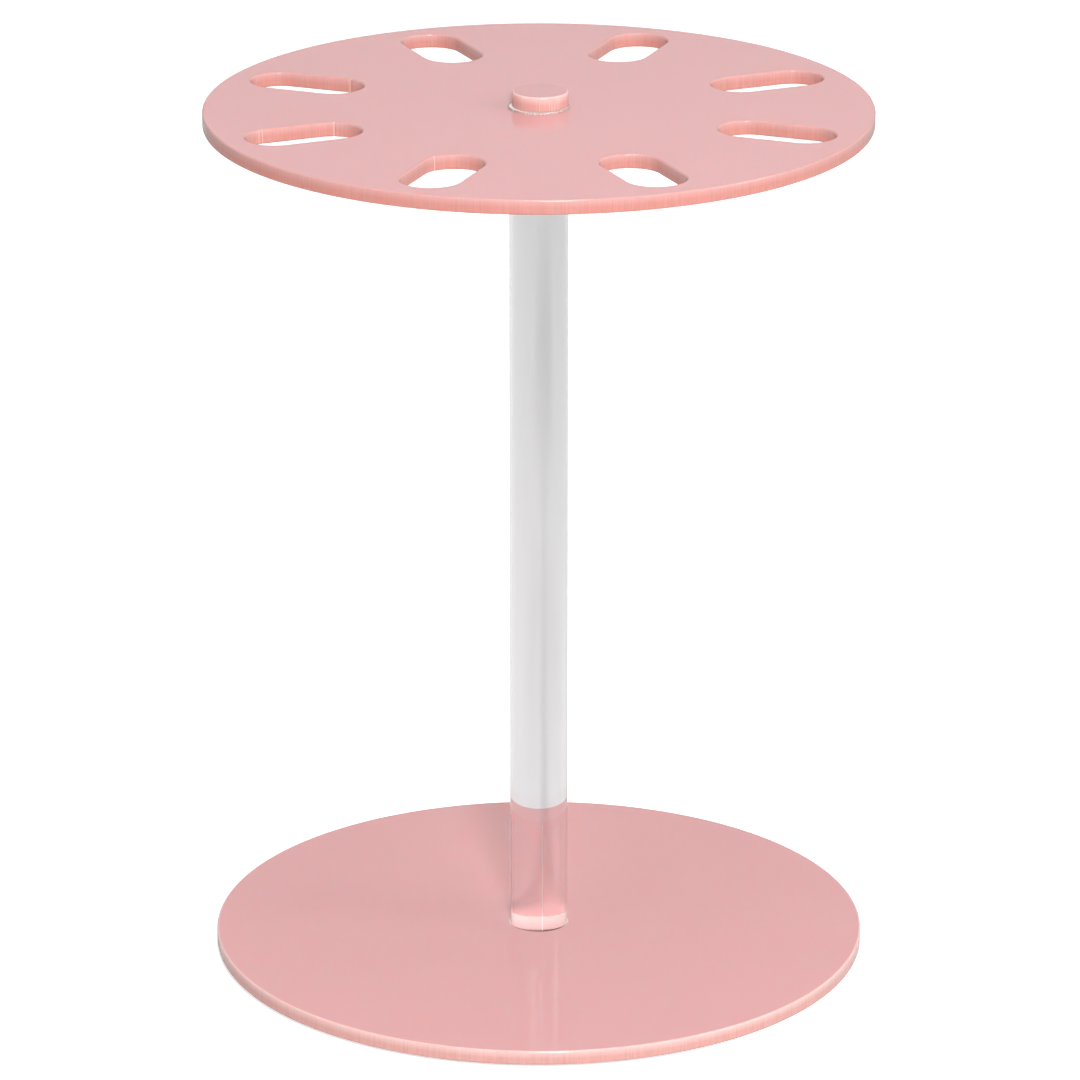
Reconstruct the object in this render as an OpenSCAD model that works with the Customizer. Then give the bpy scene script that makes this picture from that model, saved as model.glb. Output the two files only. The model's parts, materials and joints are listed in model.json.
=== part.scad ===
// Worktop stand for salon hand tools: two round acrylic plates on one clear post.
// Millimetres, +Z up. The origin is on the worktop, under the middle of the base.

/* [Plates] */
// Diameter of the base plate and of the top plate
plate_d = 225; // [200:5:260]
// Thickness of the acrylic sheet that the plates and the cap are cut from
sheet_t = 5; // [4:1:8]
// Radius of the rounded outer rims of the plates and the cap
rim_r = 0.6; // [0.2:0.1:1]

/* [Slots] */
// Number of tool slots in the top plate, evenly spaced
slot_count = 8; // [4:1:8]
// Length of a slot, along the plate's radius
slot_len = 40; // [30:1:42]
// Width of a slot
slot_w = 20; // [12:1:22]
// Sheet left between a slot's outer end and the plate's edge
slot_margin = 8; // [6:1:12]
// Width of the broken edge round the top and bottom of a slot
slot_break = 0.7; // [0.1:0.1:0.8]

/* [Post] */
// Diameter of the clear post
post_d = 20; // [18:1:25]
// Length of the clear post
post_len = 300; // [200:5:350]
// How far the post stands proud of the top plate
post_proud = 0.5; // [0.4:0.1:1]
// Broken edge at each sawn end of the post
post_break = 0.2; // [0.1:0.1:0.3]
// Gap all round the post in the plates' holes, taken up by cement
joint_gap = 0.3; // [0.2:0.1:0.5]

/* [Cap] */
// How much smaller the cap is than the post, all round
cap_step = 0.5; // [0.5:0.5:3]
// How far off the post's axis the cap is stuck, along X
cap_shift = 0.5; // [0:0.1:0.5]
// Thickness of the cement film under the cap
film_t = 0.1; // [0.1:0.1:0.3]

/* [Feet] */
// Number of stick-on feet under the base
foot_count = 4; // [3:1:6]
// Diameter of a foot where it meets the base
foot_d = 10; // [6:1:14]
// Height of a foot
foot_h = 2; // [1.5:0.5:4]
// Distance from the plate's edge to the middle of a foot
foot_inset = 17; // [10:1:30]

/* [Hidden] */
// Fineness of the round shapes
$fn = 96;
// Clearance that lets a cutter run past a face
past = 1;
// Depth that the base's cement stays below the top of its hole
cement_sunk = 1;
// How far the bead of cement spreads over the top plate
bead_w = 0.1;
// Rounding of the cap's lower rim, which is glued down and not polished
cap_low_r = 0.2;

plate_r = plate_d / 2;
post_r = post_d / 2;
hole_r = post_r + joint_gap;
cap_d = post_d - 2 * cap_step;
foot_r = foot_d / 2;
foot_round = foot_h * 0.7;
slot_mid_r = plate_r - slot_margin - slot_len / 2;
slot_step = 360 / slot_count;

base_z = foot_h;
base_top_z = base_z + sheet_t;
post_top_z = base_z + post_len;
top_plate_top_z = post_top_z - post_proud;
top_plate_z = top_plate_top_z - sheet_t;
cap_z = post_top_z + film_t;

// A disc of sheet with both outer rims rounded, the lower one by low_r
module rimmed_disc(d, low_r = rim_r) {
    r = d / 2;
    half_t = sheet_t / 2;
    rotate_extrude() {
        square([r - low_r, half_t]);
        translate([0, half_t]) square([r - rim_r, half_t]);
        translate([0, low_r]) square([r, sheet_t - low_r - rim_r]);
        translate([r - low_r, low_r]) rim_corner(low_r);
        translate([r - rim_r, sheet_t - rim_r]) rim_corner(rim_r);
    }
}

// The part of a rim's round that lies to the right of its centre
module rim_corner(round_r) {
    intersection() {
        circle(round_r);
        translate([0, -round_r]) square([round_r, 2 * round_r]);
    }
}

// The hole that the post passes through
module post_hole() {
    translate([0, 0, -past]) cylinder(r = hole_r, h = sheet_t + 2 * past);
}

// A slot's outline: straight sides and round ends, lying along X
module slot_outline() {
    straight = slot_len - slot_w;
    square([straight, slot_w], center = true);
    for (side = [-1, 1]) translate([side * straight / 2, 0]) circle(d = slot_w);
}

// The sloping edge round the mouth of a slot, opening upwards from z = 0
module slot_mouth() {
    straight = slot_len - slot_w;
    r = slot_w / 2;
    for (side = [-1, 1])
        translate([side * straight / 2, 0, 0]) cylinder(r1 = r, r2 = r + slot_break, h = slot_break);
    rotate([90, 0, 90])
        translate([0, 0, -straight / 2])
            linear_extrude(straight)
                polygon([[-r, 0], [r, 0], [r + slot_break, slot_break], [-r - slot_break, slot_break]]);
}

// One tool slot, as the shape to cut from a plate that lies on z = 0
module tool_slot() {
    translate([0, 0, -past]) linear_extrude(sheet_t + 2 * past) slot_outline();
    translate([0, 0, sheet_t - slot_break]) slot_mouth();
    mirror([0, 0, 1]) translate([0, 0, -slot_break]) slot_mouth();
}

module base_plate() {
    color([0.93, 0.62, 0.61])
        translate([0, 0, base_z])
            difference() {
                rimmed_disc(plate_d);
                post_hole();
            }
}

module top_plate() {
    color([0.93, 0.62, 0.61])
        translate([0, 0, top_plate_z])
            difference() {
                rimmed_disc(plate_d);
                post_hole();
                for (i = [0 : slot_count - 1])
                    rotate([0, 0, (i + 0.5) * slot_step])
                        translate([slot_mid_r, 0, 0]) tool_slot();
            }
}

module post() {
    color([0.86, 0.88, 0.90, 0.4])
        translate([0, 0, base_z])
            rotate_extrude()
                polygon([[0, 0], [post_r - post_break, 0], [post_r, post_break],
                         [post_r, post_len - post_break], [post_r - post_break, post_len], [0, post_len]]);
}

module cap() {
    color([0.96, 0.66, 0.62]) translate([cap_shift, 0, cap_z]) rimmed_disc(cap_d, cap_low_r);
}

// Cement between the post and the base plate, sunk a little below the surface
module base_cement() {
    color([0.85, 0.80, 0.78, 0.6])
        translate([0, 0, base_z + post_break])
            difference() {
                cylinder(r = hole_r, h = sheet_t - cement_sunk - post_break);
                translate([0, 0, -past]) cylinder(r = post_r, h = sheet_t + 2 * past);
            }
}

// Cement between the post and the top plate, squeezed out in a bead on top
module top_cement() {
    color([0.85, 0.80, 0.78, 0.6])
        rotate_extrude()
            polygon([[post_r, top_plate_z], [hole_r, top_plate_z], [hole_r, top_plate_top_z],
                     [hole_r + bead_w, top_plate_top_z], [post_r, post_top_z - post_break]]);
}

// Film of cement between the post's end and the cap
module cap_cement() {
    color([0.85, 0.80, 0.78, 0.6])
        translate([cap_shift, 0, post_top_z]) cylinder(d = cap_d - 2 * rim_r, h = film_t);
}

// One clear foot: flat where it sticks to the base, rounded towards the worktop
module foot(i) {
    color([0.90, 0.90, 0.88, 0.5])
        rotate([0, 0, (i - 0.5) * 360 / foot_count])
            translate([plate_r - foot_inset, 0, 0])
                rotate_extrude() {
                    square([foot_r - foot_round, foot_h]);
                    translate([0, foot_round]) square([foot_r, foot_h - foot_round]);
                    intersection() {
                        translate([foot_r - foot_round, foot_round]) circle(foot_round);
                        translate([foot_r - foot_round, 0]) square([foot_round, foot_round]);
                    }
                }
}

base_plate();
post();
top_plate();
cap();
base_cement();
top_cement();
cap_cement();
foot(1);  // foot_1
foot(2);  // foot_2
foot(3);  // foot_3
foot(4);  // foot_4
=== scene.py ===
"""Looks of a worktop rack for salon tools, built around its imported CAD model.

Everything is in metres, in the model's own frame: +Z up, origin on the worktop under the base.
"""
import json
import math

import bpy
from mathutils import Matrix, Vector, noise
from mathutils.geometry import delaunay_2d_cdt


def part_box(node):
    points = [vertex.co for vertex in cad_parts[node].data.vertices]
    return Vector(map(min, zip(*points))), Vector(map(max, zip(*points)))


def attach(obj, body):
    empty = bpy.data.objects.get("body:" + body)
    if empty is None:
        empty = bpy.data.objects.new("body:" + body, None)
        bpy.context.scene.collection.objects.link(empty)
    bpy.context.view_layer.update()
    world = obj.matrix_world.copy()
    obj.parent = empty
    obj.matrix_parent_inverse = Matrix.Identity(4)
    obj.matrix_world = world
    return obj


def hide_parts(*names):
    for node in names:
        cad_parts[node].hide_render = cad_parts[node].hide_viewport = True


MM = 0.001

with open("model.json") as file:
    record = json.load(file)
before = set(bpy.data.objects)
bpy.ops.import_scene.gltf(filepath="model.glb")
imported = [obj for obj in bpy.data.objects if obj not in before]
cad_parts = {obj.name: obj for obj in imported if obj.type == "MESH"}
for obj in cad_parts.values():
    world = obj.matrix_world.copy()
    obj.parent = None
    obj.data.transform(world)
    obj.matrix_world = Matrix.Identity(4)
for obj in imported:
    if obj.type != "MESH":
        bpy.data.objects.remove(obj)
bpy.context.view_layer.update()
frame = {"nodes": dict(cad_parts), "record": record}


# ---------------------------------------------------------------- sizes, read from the frame

def node_box(name):
    """Lowest and highest corner of a CAD node."""
    low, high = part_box(name)
    return Vector(low), Vector(high)


def node_radius(name):
    """Radius of a round CAD node, to a hundredth of a millimetre."""
    low, high = node_box(name)
    return round((high.x - low.x) / 2, 5)


BASE_LOW, BASE_HIGH = node_box("base_plate")
TOP_LOW, TOP_HIGH = node_box("top_plate")
POST_LOW, POST_HIGH = node_box("post")
CAP_LOW, CAP_HIGH = node_box("cap")
BASE_CEMENT_LOW, _ = node_box("base_cement")
FILM_LOW, FILM_HIGH = node_box("cap_cement")
PLATE_R = node_radius("base_plate")
POST_R = node_radius("post")
CAP_R = node_radius("cap")
FILM_R = node_radius("cap_cement")
HOLE_R = node_radius("base_cement")
BEAD_R = node_radius("top_cement")
CAP_MIDDLE = ((CAP_LOW + CAP_HIGH) / 2).xy
SLOTS = [m for m in frame["record"]["mounts"] if m["name"].startswith("slot_")]
FEET = sorted(n for n in frame["nodes"] if n.startswith("foot_"))

RIM_R = 0.6 * MM              # rounding of the plates' and the cap's outer rims
MOUTH_R = 0.7 * MM            # rounding round the slots
HOLE_EDGE_R = 0.05 * MM       # broken edge of the holes that the post goes through
CAP_LOW_R = 0.2 * MM          # rounding of the cap's lower rim
POST_BREAK = 0.2 * MM         # broken edge at the post's ends
AIR_GAP = 0.02 * MM           # keeps the clear post's faces off its neighbours'
CEMENT_SUNK = 0.15 * MM       # depth of the groove left round the post's foot
FRONT_LIP_HEIGHT = 0.45 * MM      # height of the cement that stands up against the front of the post; its top there is painted dark as shade
FRONT_LIP_AT = -70.0              # degrees round the post to the middle of that cement
FRONT_LIP_HALF_ANGLE = 55.0       # degrees from there to where it has mostly sunk away
ARC_STEPS = 5                 # faces across a rounded edge
RIM_STEPS = 480               # faces round a plate's rim
POST_STEPS = 720              # faces round the post

NICK_HALF_WIDTH = 0.30 * MM   # groove where the laser pierced the sheet
NICK_DEPTH = 0.20 * MM
# Where the beam pierced each slot, in millimetres round its outline from its inner end
NICKS = {"slot_3": 66.7, "slot_4": 101.3, "slot_5": 98.2, "slot_6": 97.8}
USUAL_NICK = 98.8
OTHER_HIGHLIGHT_LINES = {"slot_5": (20.6 * MM, 21.9 * MM)}    # more pale upright lines, painted highlights without a groove
CAP_HIGHLIGHT_LINES = [268, 288, 293, 299]    # painted highlight lines upright on the cap's wall, in degrees
# Ridges that drawing left along the post: degrees round it, height in millimetres, width in degrees
DRAW_LINES = [(-84.0, 0.006, 1.3), (-60.0, 0.003, 1.6), (151.0, 0.004, 1.5), (40.0, 0.004, 2.0)]
# Upright scratches on the post, in degrees: one in front, and a scuffed strip at the left
POST_SCRATCHES = [-84.0] + [-160.0 - 0.5 * i for i in range(16)]
SCRATCH_TOP = 51 * MM         # height where the scratches end
RIPPLE_SPACING = 0.15 * MM    # distance between the points of a laser-cut outline
CEMENT_GRAIN = 0.35 * MM      # size of the lumps in rough cement
BEAD_ROWS = 7                 # faces across the bead of cement

# Numbers of the material slots on a sheet piece and on the post
FACE, EDGE = 0, 1
SIDE, SAWN = 0, 1


# ---------------------------------------------------------------- outlines and profiles

def rounded_wall(low_z, high_z, low_r, high_r):
    """Profile of a wall with both edges rounded: points (back, height), and normals' slopes in radians."""
    points = []
    slopes = []
    for edge_r, middle_z, first, last in ((high_r, high_z - high_r, 90, 0), (low_r, low_z + low_r, 0, -90)):
        for i in range(ARC_STEPS + 1):
            a = math.radians(first + (last - first) * i / ARC_STEPS)
            points.append((edge_r * (1 - math.cos(a)), middle_z + edge_r * math.sin(a)))
            slopes.append(a)
    return points, slopes


def circle_outline(radius, steps, ripple=None, middle=Vector((0.0, 0.0))):
    """Points of a circle, counter-clockwise. ripple(angle) moves each point outwards."""
    points = []
    for i in range(steps):
        a = 2 * math.pi * i / steps
        r = radius + (ripple(a) if ripple else 0.0)
        points.append(middle + r * Vector((math.cos(a), math.sin(a))))
    return points


def slot_outline(centre, length, width, ripple):
    """Points of a slot with round ends, counter-clockwise, its length along the plate's radius.

    ripple(distance) moves each point out of the slot; distance runs round the outline.
    """
    r = width / 2
    straight = length - width
    half = straight + math.pi * r
    count = round(2 * half / RIPPLE_SPACING)
    middle = Vector(centre[:2])
    along = middle.normalized()
    across = Vector((-along.y, along.x))
    points = []
    for i in range(count):
        s = 2 * half * i / count
        side = 1 if s < half else -1
        t = s % half
        a = max(t - straight, 0.0) / r - math.pi / 2
        out = Vector((math.cos(a), math.sin(a)))
        local = side * (Vector((min(t, straight) - straight / 2, 0.0)) + (r + ripple(s)) * out)
        points.append(middle + along * local.x + across * local.y)
    return points


def outline_normals(points):
    """Unit normals of a closed counter-clockwise outline, pointing out of it."""
    normals = []
    for i in range(len(points)):
        step = points[(i + 1) % len(points)] - points[i - 1]
        normals.append(Vector((step.y, -step.x)).normalized())
    return normals


def lean(normal, slope):
    """A level normal turned up by a slope in radians, as (x, y, z)."""
    return normal.x * math.cos(slope), normal.y * math.cos(slope), math.sin(slope)


class Loop:
    """A closed loop of points, with the circle round it as a quick first test."""

    def __init__(self, points):
        self.points = points
        self.middle = sum(points, Vector((0.0, 0.0))) / len(points)
        self.reach = max((p - self.middle).length for p in points)

    def holds(self, point):
        """True if the point lies inside the loop."""
        if (point - self.middle).length > self.reach:
            return False
        found = False
        for i, a in enumerate(self.points):
            b = self.points[i - 1]
            if (a.y > point.y) != (b.y > point.y):
                found ^= point.x < (b.x - a.x) * (point.y - a.y) / (b.y - a.y) + a.x
        return found

    def is_near(self, point, distance):
        """True if the loop passes about this close to the point."""
        return any((point - q).length < distance for q in self.points[::6])


def spread_points(outer, holes, spacing):
    """Points in rings, evenly spread inside the outer loop and clear of every loop's edge."""
    # The last ring stays 0.6 of a ring inside the edge, and every point 0.45 of the spacing off a loop
    ring_count = max(1, int(outer.reach / spacing))
    points = []
    for k in range(1, ring_count + 1):
        r = outer.reach * k / (ring_count + 0.6)
        count = max(6, round(2 * math.pi * r / spacing))
        for i in range(count):
            a = 2 * math.pi * (i + 0.5 * (k % 2)) / count
            p = outer.middle + r * Vector((math.cos(a), math.sin(a)))
            blocked = any(hole.holds(p) for hole in holes)
            if not blocked and not any(loop.is_near(p, 0.45 * spacing) for loop in [outer] + holes):
                points.append(p)
    return points


# ---------------------------------------------------------------- mesh building

def add_object(name, data):
    """Puts a new object with the given mesh, lamp or camera into the scene."""
    thing = bpy.data.objects.new(name, data)
    bpy.context.collection.objects.link(thing)
    return thing


class MeshMaker:
    """Gathers vertices, faces, a normal for each face corner and a material number for each face."""

    def __init__(self):
        self.verts = []
        self.faces = []
        self.corner_normals = []
        self.face_materials = []
        self.marked = []

    def face(self, corners, normals, material):
        self.faces.append(corners)
        self.corner_normals += normals
        self.face_materials.append(material)

    def wall(self, outline, profile, bands, hole=False, marks=()):
        """Sweeps a profile of (back, height) points round a closed outline, from the top down.

        bands gives each row of faces the slopes of its first and last normals and its material number.
        hole=True is for a wall that faces inwards. marks are the outline's points that have a pale line
        down the wall. Returns the first and last rings of vertex numbers.
        """
        side = -1 if hole else 1
        normals = [n * side for n in outline_normals(outline)]
        count = len(outline)
        first = len(self.verts)
        for back, z in profile:
            for p, n in zip(outline, normals):
                q = p - n * back
                self.verts.append((q.x, q.y, z))
        for k, (high_slope, low_slope, material) in enumerate(bands):
            for i in range(count):
                j = (i + 1) % count
                corners = [(k, i, high_slope), (k + 1, i, low_slope),
                           (k + 1, j, low_slope), (k, j, high_slope)]
                if hole:
                    corners.reverse()
                numbers = [first + row * count + col for row, col, slope in corners]
                facing = [lean(normals[col], slope) for row, col, slope in corners]
                self.face(numbers, facing, material)
        self.marked += [first + row * count + col for row in range(len(profile)) for col in marks]
        last = first + (len(profile) - 1) * count
        return range(first, first + count), range(last, last + count)

    def rounded(self, outline, low_z, high_z, low_r, high_r, hole=False, marks=()):
        """A cut wall of sheet with both edges rounded."""
        profile, slopes = rounded_wall(low_z, high_z, low_r, high_r)
        bands = [(slopes[k], slopes[k + 1], EDGE) for k in range(len(profile) - 1)]
        return self.wall(outline, profile, bands, hole, marks)

    def flat(self, outer, holes, spacing, up, material):
        """Fills the flat face between an outer ring and its holes with even triangles."""
        rings = [outer] + holes
        loops = [Loop([Vector(self.verts[number][:2]) for number in ring]) for ring in rings]
        used = [number for ring in rings for number in ring]
        coords = [p for loop in loops for p in loop.points]
        edges = []
        start = 0
        for ring in rings:
            edges += [(start + i, start + (i + 1) % len(ring)) for i in range(len(ring))]
            start += len(ring)
        z = self.verts[outer[0]][2]
        for p in spread_points(loops[0], loops[1:], spacing):
            used.append(len(self.verts))
            self.verts.append((p.x, p.y, z))
            coords.append(p)
        placed, _, triangles, sources, _, _ = delaunay_2d_cdt(coords, edges, [], 1, 1e-9)
        normal = (0.0, 0.0, 1.0 if up else -1.0)
        for triangle in triangles:
            middle = sum((placed[i] for i in triangle), Vector((0.0, 0.0))) / 3
            if not any(hole.holds(middle) for hole in loops[1:]):
                corners = [used[sources[i][0]] for i in triangle]
                self.face(corners if up else corners[::-1], [normal] * 3, material)

    def build(self, name, materials):
        """Makes the object, with the gathered normals.

        Its attribute level runs from 0 at the bottom to 1 on top, and is 2 all down a marked line.
        """
        mesh = bpy.data.meshes.new(name)
        mesh.from_pydata(self.verts, [], self.faces)
        for material in materials:
            mesh.materials.append(material)
        mesh.polygons.foreach_set("material_index", self.face_materials)
        mesh.polygons.foreach_set("use_smooth", [True] * len(self.faces))
        mesh.update()
        mesh.normals_split_custom_set(self.corner_normals)
        heights = [v[2] for v in self.verts]
        low, high = min(heights), max(heights)
        levels = [(z - low) / (high - low) for z in heights]
        for number in self.marked:
            levels[number] = 2.0
        mesh.attributes.new("level", "FLOAT", "POINT").data.foreach_set("value", levels)
        return add_object(name, mesh)


def laser_ripple(seed, depth, pitch, nick=None):
    """Height of the fine upright lines on a laser-cut wall, at a distance round its outline.

    nick is the distance where the beam pierced the sheet and left a narrow groove.
    """
    def ripple(distance):
        # The second and third coordinates only give each seed its own strip of noise
        coarse = noise.noise(Vector((distance / pitch, 7.3 * seed, 0.5)))
        fine = noise.noise(Vector((2.7 * distance / pitch, 3.1 * seed, 9.5)))
        groove = 0.0
        if nick is not None:
            groove = math.exp(-((distance - nick) / NICK_HALF_WIDTH) ** 2)
        return depth * (coarse + 0.5 * fine) + NICK_DEPTH * groove
    return ripple


# ---------------------------------------------------------------- the pieces

def make_plate(name, low_z, high_z, slots, materials):
    """A round plate with rounded rims, a hole for the post and any tool slots."""
    maker = MeshMaker()
    outer = maker.rounded(circle_outline(PLATE_R, RIM_STEPS), low_z, high_z, RIM_R, RIM_R)
    post_hole = circle_outline(HOLE_R, 144)
    holes = [maker.rounded(post_hole, low_z, high_z, HOLE_EDGE_R, HOLE_EDGE_R, hole=True)]
    for i, slot in enumerate(slots):
        length = slot["dims"]["slot_length_mm"] * MM
        width = 2 * slot["dims"]["hole_r_mm"] * MM
        nick = NICKS.get(slot["name"], USUAL_NICK) * MM
        ripple = laser_ripple(i + 1, 0.018 * MM, 0.9 * MM, nick)
        outline = slot_outline(slot["pos_m"], length, width, ripple)
        # Painted highlight lines: along the nick's groove, and at any other listed points.
        highlighted_at = [nick, nick + RIPPLE_SPACING, *OTHER_HIGHLIGHT_LINES.get(slot["name"], [])]
        marks = [round(at / RIPPLE_SPACING) for at in highlighted_at]
        holes.append(maker.rounded(outline, low_z, high_z, MOUTH_R, MOUTH_R, hole=True, marks=marks))
    maker.flat(outer[0], [hole[0] for hole in holes], spacing=9 * MM, up=True, material=FACE)
    maker.flat(outer[1], [hole[1] for hole in holes], spacing=9 * MM, up=False, material=FACE)
    return maker.build(name, materials)


def make_cap(materials):
    """The small disc on the post's end, with a laser-cut wall."""
    maker = MeshMaker()
    ripple = laser_ripple(20, 0.012 * MM, 0.8 * MM)
    # One point a degree, so CAP_HIGHLIGHT_LINES are numbers of points as well as degrees
    outline = circle_outline(CAP_R, 360, lambda a: ripple(a * CAP_R), CAP_MIDDLE)
    top, bottom = maker.rounded(outline, CAP_LOW.z, CAP_HIGH.z, CAP_LOW_R, RIM_R, marks=CAP_HIGHLIGHT_LINES)
    maker.flat(top, [], spacing=2 * MM, up=True, material=FACE)
    maker.flat(bottom, [], spacing=2 * MM, up=False, material=FACE)
    return maker.build("cap_disc", materials)


def draw_line_height(angle):
    """Height of the fine lengthways lines that drawing leaves on the rod."""
    height = 0.002 * MM * noise.noise(Vector((6 * math.cos(angle), 6 * math.sin(angle), 2.0)))
    for at, tall, wide in DRAW_LINES:
        turn = (math.degrees(angle) - at + 180) % 360 - 180
        height += tall * MM * math.exp(-((turn / wide) ** 2))
    return height


def make_post(materials):
    """The clear rod: a drawn side, a small broken edge and a sawn face at each end."""
    maker = MeshMaker()
    rows = 24
    high_z = POST_HIGH.z - POST_BREAK
    low_z = POST_LOW.z + POST_BREAK
    profile = [(0.0, high_z + (low_z - high_z) * k / rows) for k in range(rows + 1)]
    profile = [(POST_BREAK, POST_HIGH.z)] + profile + [(POST_BREAK, POST_LOW.z)]
    tilt = math.radians(45)
    bands = [(tilt, tilt, SAWN)] + [(0.0, 0.0, SIDE)] * rows + [(-tilt, -tilt, SAWN)]
    outline = circle_outline(POST_R - AIR_GAP / 2, POST_STEPS, draw_line_height)
    scratches = [round((at % 360) * POST_STEPS / 360) for at in POST_SCRATCHES]
    top, bottom = maker.wall(outline, profile, bands, marks=scratches)
    maker.flat(top, [], spacing=1.5 * MM, up=True, material=SAWN)
    maker.flat(bottom, [], spacing=1.5 * MM, up=False, material=SAWN)
    return maker.build("clear_rod", materials)


def make_ring(name, section, steps, roughness, material):
    """A ring of cement, pushed about by noise.

    section(angle) is its closed outline of (radius, height) points. roughness(k) is how far point k may move.
    """
    rings = []
    verts = []
    for i in range(steps):
        a = 2 * math.pi * i / steps
        ring = []
        for k, (r, z) in enumerate(section(a)):
            at = Vector((r * math.cos(a), r * math.sin(a), z)) / CEMENT_GRAIN
            free = roughness(k)
            ring.append(len(verts))
            r += free * noise.noise(at)
            z += free * noise.noise(at + Vector((31.0, 7.0, 5.0)))
            verts.append((r * math.cos(a), r * math.sin(a), z))
        rings.append(ring)
    faces = []
    count = len(rings[0])
    for i in range(steps):
        near, far = rings[i], rings[(i + 1) % steps]
        for k in range(count):
            m = (k + 1) % count
            faces.append((near[k], far[k], far[m], near[m]))
    mesh = bpy.data.meshes.new(name)
    mesh.from_pydata(verts, [], faces)
    mesh.materials.append(material)
    mesh.update()
    return add_object(name, mesh)


def make_base_cement(material):
    """The sleeve of cement in the base's hole: nearly flush with the surface, and a little proud in front."""
    inner = POST_R + AIR_GAP
    outer = HOLE_R - AIR_GAP
    low_z = BASE_CEMENT_LOW.z
    high_z = BASE_HIGH.z - CEMENT_SUNK
    rows = 8

    def section(angle):
        off_lip = (math.degrees(angle) - FRONT_LIP_AT + 180) % 360 - 180
        tip_z = high_z + FRONT_LIP_HEIGHT * math.exp(-((off_lip / FRONT_LIP_HALF_ANGLE) ** 2))
        side = [(outer, low_z + (high_z - low_z) * k / rows) for k in range(rows + 1)]
        back = [(inner, tip_z + (low_z - tip_z) * k / rows) for k in range(rows + 1)]
        return side + back
    return make_ring("base_cement_sleeve", section, 360, lambda k: 0.0, material)


def make_top_cement(material):
    """The sleeve of cement in the top plate's hole, with the rough bead squeezed out on top."""
    inner = POST_R + AIR_GAP
    outer = HOLE_R - AIR_GAP
    lift = 0.03 * MM
    face_z = TOP_HIGH.z + lift
    tip_z = POST_HIGH.z + 0.05 * MM
    bead = []
    for k in range(BEAD_ROWS + 1):
        a = math.pi / 2 * k / BEAD_ROWS
        bead.append((inner + (BEAD_R - inner) * math.cos(a), face_z + (tip_z - face_z) * math.sin(a)))
    low_z = TOP_LOW.z + lift
    section = [(outer, low_z), (outer, face_z)] + bead + [(inner, face_z), (inner, low_z)]
    first_bead, last_bead = 2, 2 + BEAD_ROWS

    def roughness(k):
        return 0.07 * MM if first_bead < k <= last_bead else 0.0
    return make_ring("top_cement_bead", lambda angle: section, 720, roughness, material)


def make_cap_cement(material):
    """The thin film under the cap, a little uneven at its edge."""
    maker = MeshMaker()
    ripple = laser_ripple(40, 0.1 * MM, 2.5 * MM)
    outline = circle_outline(FILM_R - 0.1 * MM, 240, lambda a: ripple(a * FILM_R), CAP_MIDDLE)
    gap = 0.01 * MM
    top, bottom = maker.wall(outline, [(0.0, FILM_HIGH.z - gap), (0.0, FILM_LOW.z + gap)], [(0.0, 0.0, 0)])
    maker.flat(top, [], spacing=2.5 * MM, up=True, material=0)
    maker.flat(bottom, [], spacing=2.5 * MM, up=False, material=0)
    return maker.build("cap_cement_film", [material])


def make_foot(number, node, material):
    """A moulded clear foot: domed towards the worktop, with a small flat in the middle."""
    low, high = node_box(node)
    centre = (low + high) / 2
    r = (high.x - low.x) / 2
    height = high.z - low.z
    flat_r = 0.62 * r
    dome_height = 0.8 * height
    edge_break = 0.05 * MM
    profile = []
    rings = 14
    for k in range(rings + 1):
        a = math.pi / 2 * k / rings
        profile.append((flat_r + (r - flat_r) * math.sin(a), low.z + dome_height * (1 - math.cos(a))))
    profile += [(r, high.z - edge_break), (r - edge_break, high.z)]
    steps = 72
    verts = []
    for i in range(steps):
        a = 2 * math.pi * i / steps
        for radius, z in profile:
            verts.append((centre.x + radius * math.cos(a), centre.y + radius * math.sin(a), z))
    count = len(profile)
    bottom, top = len(verts), len(verts) + 1
    verts += [(centre.x, centre.y, low.z), (centre.x, centre.y, high.z)]
    faces = []
    for i in range(steps):
        j = (i + 1) % steps
        faces += [(i * count + k, j * count + k, j * count + k + 1, i * count + k + 1)
                  for k in range(count - 1)]
        faces.append((bottom, j * count, i * count))
        faces.append((top, i * count + count - 1, j * count + count - 1))
    mesh = bpy.data.meshes.new("clear_foot_%d" % number)
    mesh.from_pydata(verts, [], faces)
    mesh.materials.append(material)
    mesh.polygons.foreach_set("use_smooth", [True] * len(faces))
    mesh.update()
    mesh.set_sharp_from_angle(angle=math.radians(40))
    return add_object(mesh.name, mesh)


# ---------------------------------------------------------------- materials

FACE_COLOUR = (0.59, 0.305, 0.307)
# The cap's face is a darker copy of the face colour: painted shade.
SHADED_CAP_FACE_COLOUR = (0.56, 0.284, 0.286)
EDGE_COLOURS = (0.48, 0.205, 0.175), (0.51, 0.28, 0.26)         # deep, and painted paler at the upper rim as light coming in from the face
LIT_EDGE_COLOURS = (0.555, 0.305, 0.275), (0.65, 0.43, 0.41)    # a lighter copy, painted for the base's and the cap's walls, which get more light
LINE_HIGHLIGHT_COLOUR = (0.62, 0.39, 0.33)    # painted highlight of the pale upright lines on a cut wall
SMOKE_DENSITY = 5.0           # per metre


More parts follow.
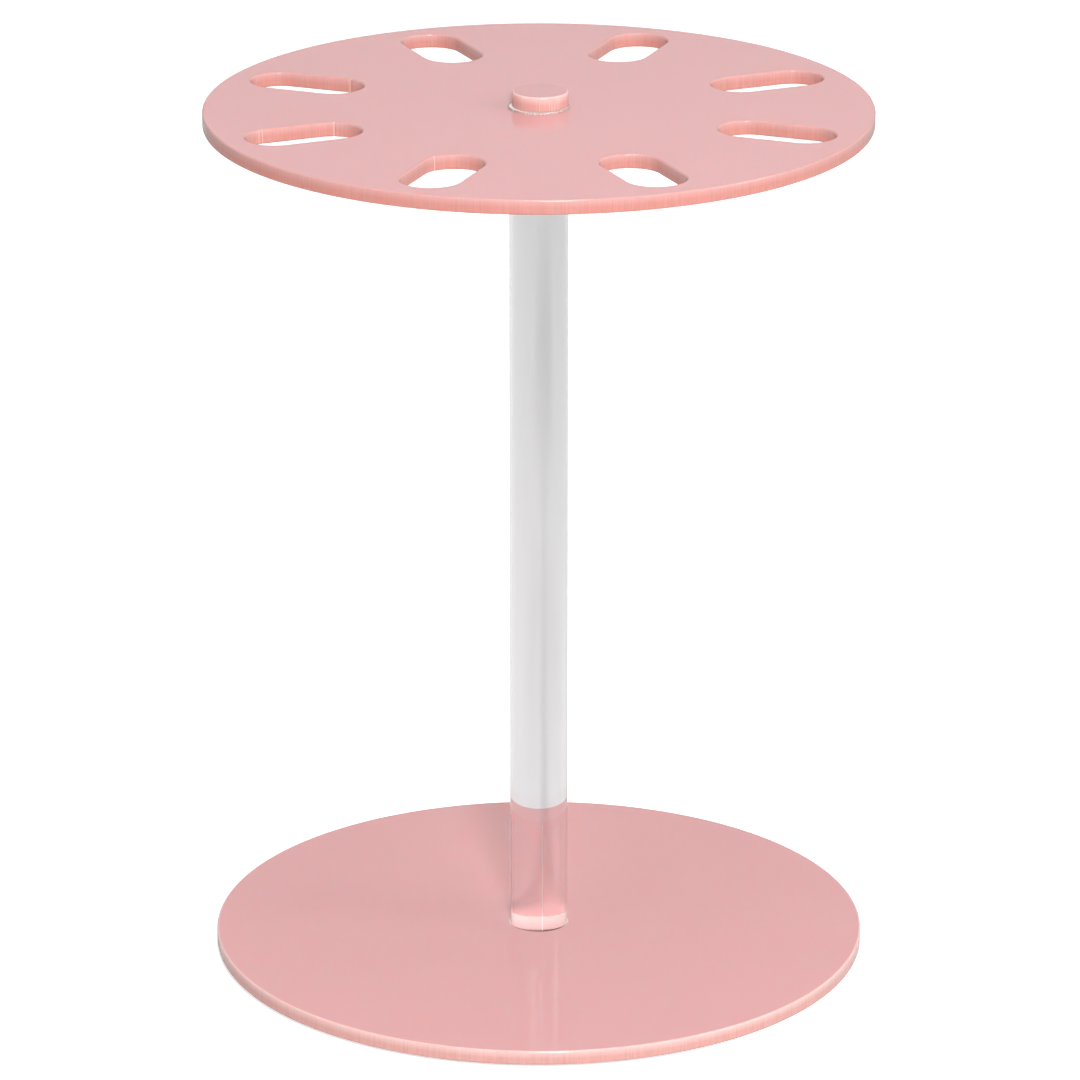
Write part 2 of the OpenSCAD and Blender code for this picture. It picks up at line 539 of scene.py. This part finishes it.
class Shader:
    """A Principled material and short ways to add nodes to it.

    Sockets 0, 6 and 7 of a colour Mix node are its factor and its two colours, and output 2 is the result.
    """

    def __init__(self, name):
        self.material = bpy.data.materials.new(name)
        self.material.use_nodes = True
        self.tree = self.material.node_tree
        self.surface = self.tree.nodes["Principled BSDF"]
        self.coords = self.tree.nodes.new("ShaderNodeTexCoord").outputs["Object"]

    def set(self, **values):
        """Sets the Principled shader's own sockets, named with _ for a space."""
        for key, value in values.items():
            self.surface.inputs[key.replace("_", " ").title().replace("Ior", "IOR")].default_value = value

    def add(self, kind, **settings):
        node = self.tree.nodes.new(kind)
        for key, value in settings.items():
            setattr(node, key, value)
        return node

    def link(self, source, target):
        self.tree.links.new(source, target)

    def noise(self, per_metre, detail=2.0, stretch=(1.0, 1.0, 1.0)):
        """Noise in the object's own space: its value socket."""
        mapping = self.add("ShaderNodeMapping")
        mapping.inputs["Scale"].default_value = stretch
        texture = self.add("ShaderNodeTexNoise")
        texture.inputs["Scale"].default_value = per_metre
        texture.inputs["Detail"].default_value = detail
        self.link(self.coords, mapping.inputs["Vector"])
        self.link(mapping.outputs["Vector"], texture.inputs["Vector"])
        return texture.outputs["Fac"]

    def level(self):
        """The mesh's own attribute level: its value socket."""
        return self.add("ShaderNodeAttribute", attribute_name="level").outputs["Fac"]

    def where(self):
        """The point's place in metres: sockets X, Y and Z."""
        place = self.add("ShaderNodeSeparateXYZ")
        self.link(self.coords, place.inputs["Vector"])
        return place.outputs

    def spread(self, value, low, high, start=0.3, end=0.7):
        """Maps a value from the range start to end on to the range low to high."""
        node = self.add("ShaderNodeMapRange")
        for key, number in (("From Min", start), ("From Max", end), ("To Min", low), ("To Max", high)):
            node.inputs[key].default_value = number
        self.link(value, node.inputs["Value"])
        return node.outputs["Result"]

    def multiply(self, first, second):
        """Multiplies two values."""
        node = self.add("ShaderNodeMath", operation="MULTIPLY")
        self.link(first, node.inputs[0])
        self.link(second, node.inputs[1])
        return node.outputs["Value"]

    def mix(self, factor, first, second):
        """Mixes two colours."""
        node = self.add("ShaderNodeMix", data_type="RGBA")
        node.inputs[6].default_value = (*first, 1.0)
        node.inputs[7].default_value = (*second, 1.0)
        self.link(factor, node.inputs[0])
        return node.outputs[2]

    def blend(self, factor, first, second):
        """Mixes the colours of two sockets."""
        node = self.add("ShaderNodeMix", data_type="RGBA")
        for source, number in ((factor, 0), (first, 6), (second, 7)):
            self.link(source, node.inputs[number])
        return node.outputs[2]

    def bump(self, heights):
        """Bumps the surface by several (value, distance) pairs, one after another."""
        normal = None
        for value, distance in heights:
            node = self.add("ShaderNodeBump")
            node.inputs["Distance"].default_value = distance
            self.link(value, node.inputs["Height"])
            if normal is not None:
                self.link(normal, node.inputs["Normal"])
            normal = node.outputs["Normal"]
        self.link(normal, self.surface.inputs["Normal"])

    def pass_light(self, share):
        """Lets a share of the lamps' light straight through, so that clear acrylic throws a faint shadow."""
        is_shadow = self.add("ShaderNodeLightPath").outputs["Is Shadow Ray"]
        clear = self.add("ShaderNodeBsdfTransparent")
        clear.inputs["Color"].default_value = (share, share, share, 1.0)
        mixed = self.add("ShaderNodeMixShader")
        self.link(is_shadow, mixed.inputs[0])
        self.link(self.surface.outputs["BSDF"], mixed.inputs[1])
        self.link(clear.outputs["BSDF"], mixed.inputs[2])
        self.link(mixed.outputs["Shader"], self.tree.nodes["Material Output"].inputs["Surface"])

    def smoke(self):
        """Darkens what is seen through the thickness of clear acrylic by a very little."""
        volume = self.add("ShaderNodeVolumeAbsorption")
        volume.inputs["Color"].default_value = (0.80, 0.77, 0.78, 1.0)
        volume.inputs["Density"].default_value = SMOKE_DENSITY
        self.link(volume.outputs["Volume"], self.tree.nodes["Material Output"].inputs["Volume"])


def shades(colour, dark, light):
    """A slightly darker and a slightly lighter version of a colour."""
    return [c * dark for c in colour], [min(1.0, c * light) for c in colour]


def milky(s, scale):
    """Lets light sink into the surface, red the deepest."""
    s.set(roughness=0.04, ior=1.49, subsurface_weight=1.0, subsurface_scale=scale,
          subsurface_radius=(1.0, 0.40, 0.34))


def sheet_face(name, colour):
    """Polished face of milky pink cast acrylic."""
    s = Shader(name)
    milky(s, 1.2 * MM)
    s.link(s.mix(s.noise(18.0), *shades(colour, 0.98, 1.02)), s.surface.inputs["Base Color"])
    s.link(s.spread(s.noise(60.0, 4.0), 0.0, 0.006), s.surface.inputs["Roughness"])
    s.bump([(s.noise(14.0), 0.03 * MM), (s.noise(900.0), 0.0002 * MM)])
    return s.material


def sheet_edge(name, deep_colour, lit_rim_colour):
    """Laser-cut edge of the same sheet: warmer, with fine upright lines; its upper rim is painted paler as
    light from the face, and its marks as painted highlight lines.
    """
    s = Shader(name)
    milky(s, 1.2 * MM)
    lines = s.spread(s.noise(1500.0, 3.0, stretch=(1.0, 1.0, 0.02)), 0.0, 1.0)
    level = s.level()
    deep = s.mix(lines, *shades(deep_colour, 0.93, 1.07))
    pale = s.mix(lines, *shades(lit_rim_colour, 0.96, 1.04))
    # Painted light: the wall pales towards its upper rim, as if lit through the face.
    plain = s.blend(s.spread(level, 0.0, 1.0, 0.45, 0.90), deep, pale)
    # Painted highlight: the pale upright lines down the marked points of the wall.
    marked = s.mix(lines, *shades(LINE_HIGHLIGHT_COLOUR, 0.97, 1.03))
    s.link(s.blend(s.spread(level, 0.0, 1.0, 1.1, 1.7), plain, marked), s.surface.inputs["Base Color"])
    s.link(s.spread(s.noise(400.0, 3.0), 0.06, 0.18), s.surface.inputs["Roughness"])
    s.bump([(lines, 0.02 * MM)])
    return s.material


def clear_side():
    """Drawn, polished side of the clear rod: faint darker streaks, and white scratches near its foot."""
    s = Shader("clear_acrylic_side")
    s.set(ior=1.49)
    streaks = s.spread(s.noise(230.0, 2.0, stretch=(1.0, 1.0, 0.006)), 0.0, 1.0)
    s.link(s.mix(streaks, (0.96, 0.945, 0.95), (1.0, 0.995, 1.0)), s.surface.inputs["Base Color"])
    marked = s.spread(s.level(), 0.0, 1.0, 0.5, 1.0)
    near_foot = s.spread(s.where()["Z"], 1.0, 0.0, SCRATCH_TOP - 5 * MM, SCRATCH_TOP)
    scratched = s.multiply(marked, near_foot)
    s.link(s.spread(scratched, 0.0, 0.3, 0.0, 1.0), s.surface.inputs["Roughness"])
    s.link(s.spread(scratched, 1.0, 0.84, 0.0, 1.0), s.surface.inputs["Transmission Weight"])
    s.bump([(s.noise(500.0, 2.0, stretch=(1.0, 1.0, 0.01)), 0.001 * MM)])
    s.pass_light(0.64)
    s.smoke()
    return s.material


def clear_sawn():
    """Sawn ends of the clear rod: frosted, with coarse glittering saw marks. The colour darkens towards the
    bottom, so the lower one is painted dark, as shade in the base's hole.
    """
    s = Shader("clear_acrylic_sawn")
    s.set(ior=1.49, transmission_weight=0.15)
    # Painted shade: darker towards the bottom, the lower end dark pinkish brown, the upper one near white.
    rise = s.spread(s.where()["Z"], 0.0, 1.0, BASE_LOW.z, POST_HIGH.z)
    s.link(s.mix(rise, (0.34, 0.19, 0.18), (0.98, 0.94, 0.93)), s.surface.inputs["Base Color"])
    s.link(s.spread(s.noise(2500.0, 2.0), 0.12, 0.5), s.surface.inputs["Roughness"])
    s.bump([(s.noise(2600.0, 3.0), 0.25 * MM)])
    s.smoke()
    return s.material


def cement_bead():
    """Hardened cement that squeezed out: rough and grey-white, sparkling from its bumps, with painted glints
    in its colour.
    """
    s = Shader("cement_bead")
    s.set(ior=1.49, transmission_weight=0.15)
    # Painted glints: the near-white specks of the colour, among the dark pinkish-brown cement.
    speck = s.noise(3200.0, 2.0)
    s.link(s.mix(s.spread(speck, 0.0, 1.0, 0.44, 0.66), (0.30, 0.17, 0.15), (0.86, 0.70, 0.66)),
           s.surface.inputs["Base Color"])
    s.link(s.spread(s.noise(2100.0), 0.08, 0.45), s.surface.inputs["Roughness"])
    s.bump([(s.noise(3000.0, 3.0), 0.2 * MM)])
    return s.material


def cement_sleeve():
    """Cement inside a joint: milky and tinted by the pink sheet, with painted light: palest at the top, where
    light gets in, and darker towards the bottom.

    Round the front of the post its top is painted dark: painted shade of the gap there.
    """
    s = Shader("cement_sleeve")
    s.set(ior=1.49, roughness=0.6, specular_ior_level=0.0)
    place = s.where()
    # Painted light: the colour pales from the bottom of the hole up to its top.
    rise = s.spread(place["Z"], 0.0, 1.0, BASE_LOW.z, BASE_HIGH.z)
    deep = s.mix(s.noise(500.0, 3.0), (0.50, 0.295, 0.28), (0.53, 0.32, 0.305))
    pale = s.mix(s.noise(500.0, 3.0), (0.58, 0.485, 0.465), (0.61, 0.525, 0.505))
    clean = s.blend(rise, deep, pale)
    # Painted shade: the top of the sleeve in front of the post is dark, as shadow in the gap round the post.
    near_top = s.spread(place["Z"], 0.0, 1.0, BASE_HIGH.z - 0.35 * MM, BASE_HIGH.z - 0.15 * MM)
    in_front = s.spread(place["Y"], 1.0, 0.0, -0.7 * POST_R, -0.2 * POST_R)
    gap_shade = s.mix(s.noise(900.0, 2.0), (0.08, 0.04, 0.04), (0.22, 0.10, 0.09))
    s.link(s.blend(near_top, clean, s.blend(in_front, clean, gap_shade)), s.surface.inputs["Base Color"])
    s.bump([(s.noise(1500.0, 2.0), 0.04 * MM)])
    return s.material


def foot_silicone():
    """Clear moulded silicone, slightly cloudy."""
    s = Shader("foot_silicone")
    s.set(base_color=(0.96, 0.96, 0.94, 1.0), ior=1.41, transmission_weight=0.85)
    s.link(s.spread(s.noise(900.0, 3.0), 0.08, 0.25), s.surface.inputs["Roughness"])
    s.bump([(s.noise(2500.0), 0.01 * MM)])
    return s.material


# ---------------------------------------------------------------- the set

def make_floor():
    """A plain floor of pale grey paper, which glows for the camera alone, so that it looks white."""
    mesh = bpy.data.meshes.new("floor")
    steps, reach = 96, 8.0
    verts = [(reach * math.cos(2 * math.pi * i / steps), reach * math.sin(2 * math.pi * i / steps), 0.0)
             for i in range(steps)]
    mesh.from_pydata(verts, [], [range(steps)])
    floor = add_object("floor", mesh)
    s = Shader("floor_paper")
    s.set(roughness=0.7, specular_ior_level=0.2, emission_color=(1.0, 1.0, 1.0, 1.0))
    s.link(s.mix(s.noise(3.0), (0.61, 0.61, 0.615), (0.63, 0.63, 0.635)), s.surface.inputs["Base Color"])
    seen = s.add("ShaderNodeLightPath").outputs["Is Camera Ray"]
    s.link(s.spread(seen, 0.0, 0.7, 0.0, 1.0), s.surface.inputs["Emission Strength"])
    mesh.materials.append(s.material)


def make_world():
    """Soft white studio light from all round, strongest from the bright wall behind."""
    world = bpy.data.worlds.new("studio")
    world.use_nodes = True
    tree = world.node_tree
    coords = tree.nodes.new("ShaderNodeTexCoord")
    towards = tree.nodes.new("ShaderNodeVectorMath")
    towards.operation = "DOT_PRODUCT"
    towards.inputs[1].default_value = Vector((0.35, -0.85, 0.45)).normalized()
    strength = tree.nodes.new("ShaderNodeMapRange")
    strength.interpolation_type = "SMOOTHSTEP"
    for key, number in (("From Min", -0.3), ("From Max", 1.0), ("To Min", 0.70), ("To Max", 0.40)):
        strength.inputs[key].default_value = number
    tree.links.new(coords.outputs["Generated"], towards.inputs[0])
    tree.links.new(towards.outputs["Value"], strength.inputs["Value"])
    background = tree.nodes["Background"]
    background.inputs["Color"].default_value = (1.0, 1.0, 1.0, 1.0)
    tree.links.new(strength.outputs["Result"], background.inputs["Strength"])
    bpy.context.scene.world = world


def make_softbox(name, place, aim, width, height, watts):
    """A rectangular lamp at a place, turned towards the point that it's aimed at."""
    light = bpy.data.lights.new(name, "AREA")
    light.shape = "RECTANGLE"
    light.size = width
    light.size_y = height
    light.energy = watts
    lamp = add_object(name, light)
    lamp.location = place
    lamp.rotation_euler = (Vector(aim) - Vector(place)).to_track_quat("-Z", "Y").to_euler()


def make_camera():
    """A long lens, in front, a little above and a degree to the left."""
    data = bpy.data.cameras.new("camera")
    data.sensor_width = 36.0
    data.lens = 202.43
    data.shift_x = 0.0011
    data.clip_end = 50.0
    camera = add_object("camera", data)
    distance = 17.461 * PLATE_R
    height = TOP_HIGH.z + 4.744 * PLATE_R
    turn = math.radians(-0.95)
    looks_down = 19.28            # degrees
    camera.location = (distance * math.sin(turn), -distance * math.cos(turn), height)
    camera.rotation_euler = (math.radians(90 - looks_down), 0.0, turn)
    bpy.context.scene.camera = camera


# ---------------------------------------------------------------- putting it together

def stand_for(piece, slot, *nodes):
    """Rides the piece on the row's one body in place of its CAD nodes."""
    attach(piece, "root")
    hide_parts(*nodes)


make_camera()
make_world()
make_floor()
make_softbox("front", (0.23, -2.2, 1.2), (0.0, 0.0, 0.15), 0.3, 0.4, 60.0)
make_softbox("high", (0.15, -1.6, 1.9), (0.0, 0.0, 0.15), 0.5, 0.5, 11.0)
make_softbox("top", (0.0, -0.3, 2.2), (0.0, 0.0, 0.0), 1.2, 1.2, 7.0)
make_softbox("right", (1.75, -0.5, 1.15), (0.2, 0.2, 0.1), 0.9, 0.9, 14.0)
bpy.context.scene.view_settings.view_transform = "Standard"

face = sheet_face("pink_acrylic_face", FACE_COLOUR)
# The cap gets a darker copy of the face: painted shade.
shaded_cap_face = sheet_face("pink_acrylic_cap_face", SHADED_CAP_FACE_COLOUR)
edge = sheet_edge("pink_acrylic_edge", *EDGE_COLOURS)
# A lighter copy of the edge, painted for the extra light on the walls of the base and the cap.
lit_edge = sheet_edge("pink_acrylic_pale_edge", *LIT_EDGE_COLOURS)
base = make_plate("base_disc", BASE_LOW.z, BASE_HIGH.z, [], [face, lit_edge])
stand_for(base, "pink_acrylic", "base_plate")
top = make_plate("slotted_disc", TOP_LOW.z, TOP_HIGH.z, SLOTS, [face, edge])
stand_for(top, "pink_acrylic", "top_plate")
stand_for(make_cap([shaded_cap_face, lit_edge]), "pink_acrylic", "cap")
stand_for(make_post([clear_side(), clear_sawn()]), "clear_acrylic", "post")
bead, sleeve = cement_bead(), cement_sleeve()
stand_for(make_base_cement(sleeve), "cement", "base_cement")
stand_for(make_top_cement(bead), "cement", "top_cement")
stand_for(make_cap_cement(bead), "cement", "cap_cement")
silicone = foot_silicone()
for number, node in enumerate(FEET, 1):
    stand_for(make_foot(number, node, silicone), "foot_silicone", node)
